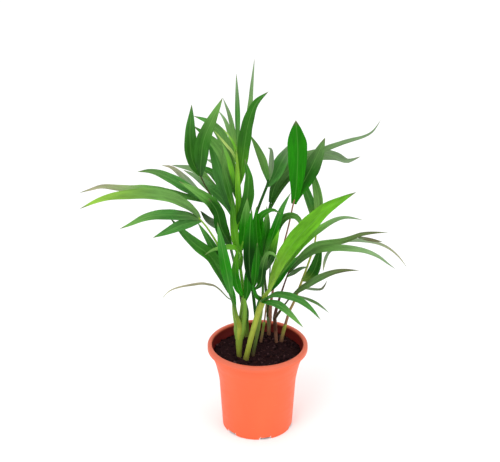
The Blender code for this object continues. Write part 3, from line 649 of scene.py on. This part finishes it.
def leaf_material():
    """Satin leaf: fine lengthwise veins, a pale midrib, soft mottling and small dry flecks."""
    n = Nodes("palm_leaf")
    grain = n.attribute("grain").outputs["Vector"]
    tint = n.attribute("tint").outputs["Color"]
    veins = n.noise(n.stretched(grain, (2.2, 0.03, 1.0)), 1.0)
    mottle = n.noise(n.stretched(grain, (0.14, 0.035, 1.0)), 1.0)
    colour = n.shaded(tint, n.varied(veins, 0.78, 1.22))
    colour = n.shaded(colour, n.varied(mottle, 0.76, 1.26))
    parts = n.add("ShaderNodeSeparateXYZ")
    n.feed(parts.inputs[0], grain)
    rib = n.spread(n.size_of(parts.outputs[0]), 0.2, 0.6, 0.28, 0.0)
    colour = n.mixed(rib, colour, (*linear("light"), 1.0))
    flecks = n.noise(n.stretched(grain, (0.9, 0.35, 1.0)), 1.0, 5.0, 0.7)
    colour = n.mixed(n.spread(flecks, 0.70, 0.78, 0.0, 0.4), colour, (*linear("brown"), 1.0))
    fine = n.noise(n.stretched(grain, (4.5, 0.04, 1.0)), 1.0)
    return n.finish(colour, n.varied(mottle, 0.42, 0.58), fine, 0.35, 0.25,
                    Specular_IOR_Level=0.08)


def stalk_material():
    """Waxy stalk: lengthwise streaks, faint scaly bands and brownish scars."""
    n = Nodes("palm_stalk")
    grain = n.attribute("grain").outputs["Vector"]
    tint = n.attribute("tint").outputs["Color"]
    streaks = n.noise(n.stretched(grain, (1.3, 0.05, 1.0)), 1.0)
    bands = n.noise(n.stretched(grain, (0.15, 0.22, 1.0)), 1.0, 4.0, 0.65)
    colour = n.shaded(tint, n.varied(streaks, 0.80, 1.18))
    colour = n.mixed(n.spread(bands, 0.56, 0.72, 0.0, 0.5), colour, (*linear("maroon"), 1.0))
    return n.finish(colour, n.varied(bands, 0.34, 0.55), streaks, 0.4, 0.3,
                    Specular_IOR_Level=0.2)


def pot_material():
    """Moulded polypropylene: fine grain, faint flow marks and scuffs of dust."""
    n = Nodes("pot_plastic")
    place = n.add("ShaderNodeTexCoord").outputs["Object"]
    tint = n.attribute("tint").outputs["Color"]
    flow = n.noise(n.stretched(place, (22.0, 22.0, 5.0)), 1.0, 4.0)
    grit = n.noise(place, 1400.0, 2.0)
    scuffs = n.noise(n.stretched(place, (60.0, 60.0, 240.0)), 1.0, 6.0, 0.7)
    colour = n.shaded(tint, n.varied(flow, 0.94, 1.05))
    colour = n.mixed(n.spread(scuffs, 0.66, 0.78, 0.0, 0.16), colour, SOIL_DUST)
    return n.finish(colour, n.spread(scuffs, 0.35, 0.7, 0.40, 0.56), grit, 0.16, 0.12,
                    Specular_IOR_Level=0.25)


def soil_material(name, flake, share):
    """Peaty potting soil: almost black, with rusty flecks, crumbly all over."""
    n = Nodes(name)
    place = n.add("ShaderNodeTexCoord").outputs["Object"]
    tint = n.attribute("tint").outputs["Color"]
    lumps = n.noise(place, 420.0, 6.0, 0.7)
    specks = n.noise(place, 900.0, 3.0, 0.6)
    colour = n.shaded(tint, n.varied(lumps, 0.45, 1.5))
    colour = n.mixed(n.spread(specks, 0.60, 0.70, 0.0, share), colour, flake)
    return n.finish(colour, n.varied(lumps, 0.75, 0.98), lumps, 0.9, 1.2,
                    Specular_IOR_Level=0.04)


def floor_material():
    """Plain pale floor."""
    n = Nodes("studio_floor")
    place = n.add("ShaderNodeTexCoord").outputs["Object"]
    haze = n.noise(place, 3.0, 2.0)
    colour = n.shaded(FLOOR_WHITE, n.varied(haze, 0.995, 1.0))
    return n.finish(colour, n.varied(haze, 0.78, 0.82), haze, 0.0, 0.1,
                    Specular_IOR_Level=0.1)


# -------- pot and soil
def wall_radius(z):
    """Outer radius of the pot's wall: a straight taper, then a flare out to the lip."""
    if z <= POT_SHOULDER_Z:
        return POT_BASE_RADIUS + (POT_SHOULDER_RADIUS - POT_BASE_RADIUS) * z / POT_SHOULDER_Z
    t = (z - POT_SHOULDER_Z) / (POT_FLARE_TOP_Z - POT_SHOULDER_Z)
    return POT_SHOULDER_RADIUS + (POT_FLARE_TOP_RADIUS - POT_SHOULDER_RADIUS) * t ** FLARE_CURVE


def arc(centre, size, start, end, steps):
    """Points of a round stretch of a turned profile, angles in degrees."""
    angles = [math.radians(start + (end - start) * i / steps) for i in range(steps + 1)]
    return [(centre[0] + size[0] * math.cos(a), centre[1] + size[1] * math.sin(a))
            for a in angles]


def pot_outside():
    """(radius, height) from the middle of the underside, round the foot and up to the lip."""
    foot = [(0.01, 1.0), (11.0, 1.0), (11.6, 0.4), (13.4, 0.4), (14.0, 1.0), (31.0, 1.0),
            (31.8, 0.0), (POT_BASE_RADIUS - 1.4, 0.0)]
    foot += arc((POT_BASE_RADIUS - 1.3, 1.3), (1.3, 1.3), -80, 0, 5)
    wall = []
    z = FOOT_NOTCH_HEIGHT
    while z < POT_FLARE_TOP_Z - 1.0:
        ledge = STACKING_LEDGE if z > STACKING_LEDGE_Z else 0.0
        wall.append((wall_radius(z) + ledge, z))
        z += POT_STEP
    return foot + wall + [(POT_FLARE_TOP_RADIUS + 0.2, POT_FLARE_TOP_Z)]


def pot_lip():
    """(radius, height) round the rolled lip, from its underside to the opening."""
    lip = [(RIM_RADIUS - 1.2, POT_FLARE_TOP_Z + 0.1)]
    lip += arc((RIM_RADIUS - 1.0, POT_FLARE_TOP_Z + 1.2), (1.0, 1.0), -80, 0, 5)
    lip += [(RIM_RADIUS, POT_HEIGHT - 5.5), (RIM_RADIUS, POT_HEIGHT - LIP_ROUND - 0.7)]
    lip += arc((RIM_RADIUS - LIP_ROUND, POT_HEIGHT - LIP_ROUND), (LIP_ROUND, LIP_ROUND), 0, 90, 9)
    lip += arc((RIM_OPENING_RADIUS + LIP_INNER_ROUND, POT_HEIGHT - LIP_INNER_ROUND),
               (LIP_INNER_ROUND, LIP_INNER_ROUND), 90, 180, 6)
    return lip


def pot_inside():
    """(radius, height) down the inner wall and across the floor."""
    wall = [(RIM_OPENING_RADIUS + 0.1, POT_HEIGHT - 3.5), (wall_radius(103.0) - POT_WALL, 103.5)]
    wall += [(wall_radius(z) - POT_WALL, z) for z in range(100, 10, -5)]
    return wall + [(wall_radius(3.0) - POT_WALL - 0.6, 3.0), (30.0, POT_FLOOR), (0.01, POT_FLOOR)]


def pot_profile():
    """(radius, height, colour) up the outside, over the lip and down the inside."""
    orange, dark, lip_sheen = linear("pot"), linear("pot_inside"), linear("pot_lip")
    profile = [(r, z, orange) for r, z in pot_outside()]
    for r, z in pot_lip():
        # the lip turns towards the painted-sheen colour as it rises
        profile.append((r, z, orange.lerp(lip_sheen, clamped((z - LIP_FADE_Z) / LIP_FADE))))
    for r, z in pot_inside():
        # the inner wall goes from the lip's colour to painted shade just below the rim
        profile.append((r, z, lip_sheen.lerp(dark, clamped((INSIDE_FADE_Z - z) / INSIDE_FADE))))
    return profile


def level_ring(skin, radius, z, tint, sides):
    """A level ring of points about the pot's axis."""
    return [skin.point(Vector((radius * math.cos(a), radius * math.sin(a), z)), tint)
            for a in (ROUND * k / sides for k in range(sides))]


def notch_block(angle):
    """A block the shape of one foot notch, narrower at its rounded top."""
    length = POT_BASE_RADIUS + 4 - FOOT_NOTCH_INNER_RADIUS
    middle = FOOT_NOTCH_INNER_RADIUS + length / 2
    block = bmesh.new()
    bmesh.ops.create_cube(block, size=1.0)
    for corner in block.verts:
        width = FOOT_NOTCH_WIDTH - (FOOT_NOTCH_LEAN if corner.co.z > 0 else 0.0)
        corner.co = Vector((middle + corner.co.x * length, corner.co.y * width,
                            corner.co.z * 2 * FOOT_NOTCH_HEIGHT)) * MM
    bmesh.ops.bevel(block, geom=[e for e in block.edges if min(v.co.z for v in e.verts) > 0],
                    offset=NOTCH_ROUND * MM, segments=3, profile=0.5, affect="EDGES")
    bmesh.ops.rotate(block, verts=block.verts[:], cent=(0, 0, 0),
                     matrix=Matrix.Rotation(angle, 3, "Z"))
    bmesh.ops.recalc_face_normals(block, faces=block.faces[:])
    mesh = bpy.data.meshes.new("notch")
    block.to_mesh(mesh)
    block.free()
    made = bpy.data.objects.new("notch", mesh)
    bpy.context.scene.collection.objects.link(made)
    return made


def cut_notches(pot):
    """Cuts the notches out of the pot's foot, so that water can run out."""
    blocks = []
    for k in range(FOOT_NOTCHES):
        block = notch_block(math.radians(FIRST_NOTCH_ANGLE + k * 360 / FOOT_NOTCHES))
        cut = pot.modifiers.new("notch", "BOOLEAN")
        cut.operation = "DIFFERENCE"
        cut.object = block
        blocks.append(block)
    settled = bpy.data.meshes.new_from_object(
        pot.evaluated_get(bpy.context.evaluated_depsgraph_get()))
    pot.modifiers.clear()
    pot.data = settled
    for block in blocks:
        bpy.data.objects.remove(block, do_unlink=True)
    for face in pot.data.polygons:
        face.material_index = 0
    pot.data.set_sharp_from_angle(angle=math.radians(40))


def make_pot():
    """The pot in fine detail."""
    shell = Surface()
    shell.skin([level_ring(shell, r, z, tint, POT_SIDES) for r, z, tint in pot_profile()])
    pot = shell.piece("pot_shell", [pot_material()], 40.0)
    cut_notches(pot)
    return pot


def soil_height(x, y):
    """Height of the soil's top: broad waves, then lumps and grit."""
    wave = math.sin(0.31 * x + 0.9) * math.cos(0.27 * y - 0.4)
    wave += 0.6 * math.sin(0.53 * x - 0.47 * y + 2.0)
    lumps = noise.noise(Vector((x / LUMP_SIZE, y / LUMP_SIZE, 3.1)))
    grit = noise.noise(Vector((x / GRIT_SIZE, y / GRIT_SIZE, 8.4)))
    return SOIL_LEVEL + 0.6 * SOIL_BUMP * wave + LUMP_HEIGHT * lumps + GRIT_HEIGHT * grit


def soil_rings(soil):
    """Rings of points up the side of the soil, then in across its lumpy top."""
    rings = []
    for z in (POT_FLOOR + 0.4, 12.0, 36.0, 60.0, 78.0, 90.0):
        radius = wall_radius(z) - POT_WALL - SOIL_WALL_ROOM - (2.5 if z < 10 else 0.0)
        rings.append(level_ring(soil, radius, z, SOIL_BLACK, SOIL_SIDES))
    edge = wall_radius(SOIL_LEVEL) - POT_WALL - SOIL_WALL_ROOM
    for i in range(SOIL_RINGS):
        radius = edge * (1 - (i / SOIL_RINGS) ** 1.05)
        fall = SOIL_EDGE_FALL * max(0.0, (radius - edge + SOIL_EDGE_WIDTH) / SOIL_EDGE_WIDTH)
        ring = []
        for k in range(SOIL_SIDES):
            a = ROUND * k / SOIL_SIDES
            x, y = radius * math.cos(a), radius * math.sin(a)
            ring.append(soil.point(Vector((x, y, soil_height(x, y) - fall)), SOIL_BLACK))
        rings.append(ring)
    return rings


def make_soil():
    """The soil: a plug that fills the pot, with a lumpy top."""
    soil = Surface()
    rings = soil_rings(soil)
    tip = soil.point(Vector((0, 0, soil_height(0, 0))), SOIL_BLACK)
    soil.skin(rings, 0, tip)
    return soil.piece("soil_top", [soil_material("soil", SOIL_FLAKE, 0.35)], 80.0)


def clear_of_stems(x, y, size):
    """True where a crumb of this size doesn't stand in a stem."""
    for points, foot, _ in STEMS.values():
        if math.hypot(x - points[0][0], y - points[0][1]) < foot + size * 0.8:
            return False
    return True


def crumb_points(size, rng):
    """An irregular lump: a ball pushed in and out, and flattened."""
    ball = bmesh.new()
    bmesh.ops.create_icosphere(ball, subdivisions=2, radius=1.0)
    seed = Vector([rng.uniform(0, 50) for _ in range(3)])
    shape = Vector((rng.uniform(0.7, 1.5), rng.uniform(0.6, 1.0), rng.uniform(0.45, 0.8)))
    turn = Matrix.Rotation(rng.uniform(0, ROUND), 3, "Z")
    turn = turn @ Matrix.Rotation(rng.uniform(-0.5, 0.5), 3, "X")
    places = []
    for vertex in ball.verts:
        out = 1 + 0.55 * noise.noise(vertex.co * 1.6 + seed)
        places.append(turn @ Vector([c * s for c, s in zip(vertex.co, shape)]) * out * size)
    faces = [[v.index for v in f.verts] for f in ball.faces]
    ball.free()
    return places, faces


def make_crumbs(rng):
    """Loose crumbs and bark chips lying on the soil."""
    crumbs = Surface()
    smallest, largest = CRUMB_SIZES
    for _ in range(CRUMB_COUNT):
        r = CRUMB_REACH * math.sqrt(rng.random())
        a = rng.uniform(0, ROUND)
        size = smallest + (largest - smallest) * rng.random() ** 2
        tone = Vector(CRUMB_TONES[min(4, int(rng.random() ** 1.7 * 5.2))])
        x, y = r * math.cos(a), r * math.sin(a)
        places, faces = crumb_points(size, rng)
        if not clear_of_stems(x, y, size):
            continue
        at = Vector((x, y, soil_height(x, y) + 0.25 * size))
        first = len(crumbs.points)
        for place in places:
            crumbs.point(at + place, tone)
        for face in faces:
            crumbs.face([first + i for i in face])
    return crumbs.piece("soil_crumbs", [soil_material("crumbs", CRUMB_FLAKE, 0.25)], 60.0)


def fibre_line(rng):
    """A short curved line lying on the soil, and its thickness."""
    r = FIBRE_REACH * math.sqrt(rng.random())
    a = rng.uniform(0, ROUND)
    heading = rng.uniform(0, ROUND)
    reach = rng.uniform(2.5, 7.0)
    thick = rng.uniform(0.12, 0.26)
    bend = rng.uniform(-0.8, 0.8)
    line = []
    for i in range(FIBRE_POINTS):
        u = i / (FIBRE_POINTS - 1) - 0.5
        x = r * math.cos(a) + reach * u * math.cos(heading + bend * u)
        y = r * math.sin(a) + reach * u * math.sin(heading + bend * u)
        line.append(Vector((x, y, soil_height(x, y) + 0.5 + FIBRE_ARCH * (0.25 - u * u))))
    return line, thick


def make_fibres(rng):
    """Short coir fibres lying on the soil."""
    fibres = Surface()
    for _ in range(FIBRE_COUNT):
        line, thick = fibre_line(rng)
        tone = FIBRE_TONE * rng.uniform(0.4, 1.3)
        add_tube(fibres, line, [thick] * FIBRE_POINTS, FIBRE_SIDES, [tone] * FIBRE_POINTS, 0)
    return fibres.piece("soil_fibres", [soil_material("fibre", FIBRE_FLAKE, 0.35)])


# -------- stems and fronds
def add_tube(skin, line, radii, sides, tints, slot, flat=1.0, tip=None):
    """A round or slightly flat tube along a line of points."""
    directions = tangents_of(line)
    side = directions[0].orthogonal().normalized()
    rings = []
    along = 0.0
    for i, (point, direction) in enumerate(zip(line, directions)):
        if i:
            along += (point - line[i - 1]).length
        side = (side - direction * side.dot(direction)).normalized()
        other = direction.cross(side)
        rings.append([
            skin.point(point + radii[i] * (math.cos(a) * side + math.sin(a) * flat * other),
                       tints[i], (6.0 * a, along, slot * 7.0))
            for a in (ROUND * k / sides for k in range(sides))])
    end = None if tip is None else skin.point(tip, tints[-1], (0, along, 0))
    skin.skin(rings, slot, end)


def make_stem(name, stalk):
    """One stem: a cane with ring scars, swollen and earthy at the soil, rounded at its top."""
    points, foot, top = STEMS[name]
    low, high = (linear(c) for c in STEM_LOOKS[name])
    start = Vector(points[0])
    line = [start - Vector((0, 0, depth)) for depth in STEM_DEPTHS]
    rise = length_of(points)
    line += smooth_points(points, max(8, round(rise / STEM_STEP)))
    radii, tints = [], []
    for i, place in enumerate(line):
        u = clamped((place - start).length / rise) if i >= len(STEM_DEPTHS) else 0.0
        radius = foot + (top - foot) * u
        radius += STEM_SWELL * math.exp(-(u * rise / STEM_SWELL_REACH) ** 2)
        radius -= SCAR_DEPTH * max(0.0, math.sin(ROUND * u * rise / SCAR_SPACING)) ** 8
        radii.append(radius)
        earthy = EARTHY_SHARE * math.exp(-(u * rise / EARTHY_REACH) ** 2)
        tints.append(low.lerp(high, u).lerp(linear("maroon"), earthy) * LEAF_ALBEDO)
    radii[-1] *= STEM_TOP_ROUND
    up = tangents_of(line)[-1]
    skin = Surface()
    add_tube(skin, line, radii, STEM_SIDES, tints, 0, tip=line[-1] + up * STEM_TOP_ROUND * top)
    return skin.piece(name + "_cane", [stalk])


def blade_width(s, width):
    """Width of a leaflet as a share of its widest, which lies further out on a broad one."""
    widest = WIDEST_AT + BROAD_SHIFT * max(0.0, width - BROAD_LEAFLET)
    swell = LEAFLET_FOOT + (1 - LEAFLET_FOOT) * math.sin(0.5 * math.pi * min(s / widest, 1.0))
    return swell * (1 - (max(0.0, s - widest) / (1 - widest)) ** TIP_TAPER)


def tint_along(look, s):
    """Colour of a leaflet at a share of its length, dry at the very tip."""
    foot, middle, end = (linear(c) for c in look)
    if s < 0.5:
        colour = foot.lerp(middle, clamped(s / TINT_RISE))
    else:
        colour = middle.lerp(end, clamped((s - 0.5) / TINT_RISE))
    dry = clamped((s - 1 + 2 * DRY_TIP) / DRY_TIP)
    return colour.lerp(linear("brown"), DRY_SHARE * dry)


def across_blade(t, s, half, ripple):
    """Rise of a blade and its thickness, t of the way out to its margin and s along it."""
    rise = BLADE_FOLD * 2 * half * abs(t)
    rise += PLEAT_DEPTH * min(1.0, half / PLEAT_BLADE) * math.cos(3 * math.pi * t)
    rise += MARGIN_WAVE * half * ripple * t * t
    thick = LEAF_THICKNESS * (1 - MARGIN_THINNING * abs(t)) * (1 - TIP_THINNING * s)
    thick += MIDRIB_DEPTH * (1 - s) * max(0.0, 1 - abs(t) * LEAF_HALVES)
    return rise * min(1.0, 3 * s), thick


def add_leaflet(skin, points, width, facing, look, number, rng):
    """One leaflet: a thin pleated blade, folded along its midrib, with a wavy margin."""
    azimuth, elevation = (math.radians(a) for a in facing)
    face = Vector((math.cos(azimuth) * math.cos(elevation),
                   math.sin(azimuth) * math.cos(elevation), math.sin(elevation)))
    length = length_of(points)
    count = max(10, round(length / LEAF_STEP))
    line = smooth_points(points, count)
    directions = tangents_of(line)
    waves = rng.uniform(20.0, 34.0)
    phase = rng.uniform(0, ROUND)
    twist = math.radians(rng.uniform(-9.0, 9.0))
    value = LEAF_ALBEDO * rng.uniform(0.92, 1.10)
    stations = [i / LEAF_HALVES for i in range(-LEAF_HALVES, LEAF_HALVES + 1)]
    rings = []
    for i in range(count - 1):
        s = i / (count - 1)
        side = directions[i].cross(face).normalized()
        side = Matrix.Rotation(twist * s, 3, directions[i]) @ side
        up = side.cross(directions[i])
        half = 0.5 * width * LEAF_WIDEN * blade_width(s, width)
        tint = tint_along(look, s) * value
        under = tint.lerp(linear("sage") * value, PALE_UNDERSIDE)
        upper, lower = [], []
        for t in stations:
            ripple = math.sin(ROUND * s * length / waves + phase + (MARGIN_LAG if t > 0 else 0.0))
            rise, thick = across_blade(t, s, half, ripple)
            place = line[i] + side * (half * t)
            grain = (half * t, s * length, number * GRAIN_SHIFT)
            upper.append(skin.point(place + up * rise, tint, grain))
            lower.append(skin.point(place + up * (rise - thick), under, grain))
        rings.append(upper + lower[::-1])
    tip = skin.point(line[-1], linear("brown"), (0.0, length, number * GRAIN_SHIFT))
    skin.skin(rings, 0, tip)


def frond_path(stem, angle, offset, via):
    """Points of a frond's stalk, from inside its sheath up."""
    cane = [Vector(p) for p in STEMS[stem][0]]
    up = tangents_of(cane)[-1]
    out = Vector((math.cos(math.radians(angle)), math.sin(math.radians(angle)), 0))
    out = (out - up * out.dot(up)).normalized()
    seat = cane[-1] + out * offset
    root = seat - up * SHEATH_DEPTH - out * 0.25 * offset
    return [root, seat, seat + up * SEAT_LENGTH] + [Vector(p) for p in via]


def make_frond(name, leaf, stalk):
    """One frond: its sheath, its stalk and all its leaflets, grown as one piece."""
    stem, angle, offset, via, (foot, top), leaflets = FRONDS[name]
    low, high, looks = FROND_LOOKS[name]
    rng = random.Random(name)
    path = frond_path(stem, angle, offset, via)
    length = length_of(path)
    count = max(8, round(length / STALK_STEP))
    line = smooth_points(path, count)
    radii, tints = [], []
    for i in range(count):
        d = length * i / (count - 1) - SHEATH_DEPTH
        u = max(0.0, d / (length - SHEATH_DEPTH))
        radius = foot + (top - foot) * u
        radius += SHEATH_SWELL * foot * math.exp(-(d / SHEATH_REACH) ** 2) * min(1.0, offset)
        if d < 0:
            radius *= 1 + SHEATH_NARROWING * d / SHEATH_DEPTH
        radii.append(radius)
        tints.append(linear(low).lerp(linear(high), clamped(1.6 * u)) * LEAF_ALBEDO)
    skin = Surface()
    end = line[-1] + (line[-1] - line[-2]).normalized() * top
    add_tube(skin, line, radii, STALK_SIDES, tints, 1, STALK_FLATNESS, end)
    blades = [(*leaflet, look) for leaflet, look in zip(leaflets, looks)]
    blades += NEW_LEAFLETS.get(name, [])
    for number, blade in enumerate(blades, 1):
        add_leaflet(skin, *blade, number, rng)
    return skin.piece(name + "_grown", [leaf, stalk])


# -------- stage
def make_floor():
    """Plain pale floor under the pot."""
    half = FLOOR_HALF
    mesh = bpy.data.meshes.new("studio_floor")
    mesh.from_pydata([(-half, -half, 0), (half, -half, 0), (half, half, 0), (-half, half, 0)],
                     [], [(0, 1, 2, 3)])
    mesh.materials.append(floor_material())
    floor = bpy.data.objects.new("studio_floor", mesh)
    bpy.context.scene.collection.objects.link(floor)


def make_world():
    """Even white surroundings."""
    world = bpy.data.worlds.new("studio")
    world.use_nodes = True
    background = world.node_tree.nodes["Background"]
    background.inputs["Color"].default_value = (1.0, 1.0, 1.0, 1.0)
    background.inputs["Strength"].default_value = WORLD_STRENGTH
    bpy.context.scene.world = world


def make_softbox(name, place, size, watts):
    """A square softbox aimed at the plant."""
    light = bpy.data.lights.new(name, "AREA")
    light.shape = "SQUARE"
    light.size = size
    light.energy = watts
    lamp = bpy.data.objects.new(name, light)
    lamp.location = place
    aim = Vector(LIGHT_TARGET) - Vector(place)
    lamp.rotation_euler = aim.to_track_quat("-Z", "Y").to_euler()
    bpy.context.scene.collection.objects.link(lamp)


def make_camera():
    """The photograph's view: from the front, looking down on the pot."""
    lens = bpy.data.cameras.new("camera")
    lens.lens = CAMERA_LENS
    lens.sensor_width = CAMERA_SENSOR
    camera = bpy.data.objects.new("camera", lens)
    camera.location = CAMERA_PLACE
    camera.rotation_euler = (math.radians(90 - CAMERA_DIP), 0, 0)
    bpy.context.scene.collection.objects.link(camera)
    bpy.context.scene.camera = camera


def make_stage():
    """Floor, surroundings, softboxes and camera."""
    make_floor()
    make_world()
    for softbox in SOFTBOXES:
        make_softbox(*softbox)
    make_camera()
    bpy.context.scene.view_settings.view_transform = "Standard"


def main():
    """Builds every piece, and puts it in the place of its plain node."""
    rng = random.Random(12)
    leaf, stalk = leaf_material(), stalk_material()
    pot = make_pot()
    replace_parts(pot, "pot")
    soil = make_soil()
    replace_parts(soil, "potting_soil")
    pieces = [pot, soil, make_crumbs(rng), make_fibres(rng)]
    for name in STEMS:
        pieces.append(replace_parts(make_stem(name, stalk), name))
    for name in FRONDS:
        pieces.append(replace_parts(make_frond(name, leaf, stalk), name))
    for piece in pieces:
        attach(piece, "root")
    make_stage()


main()
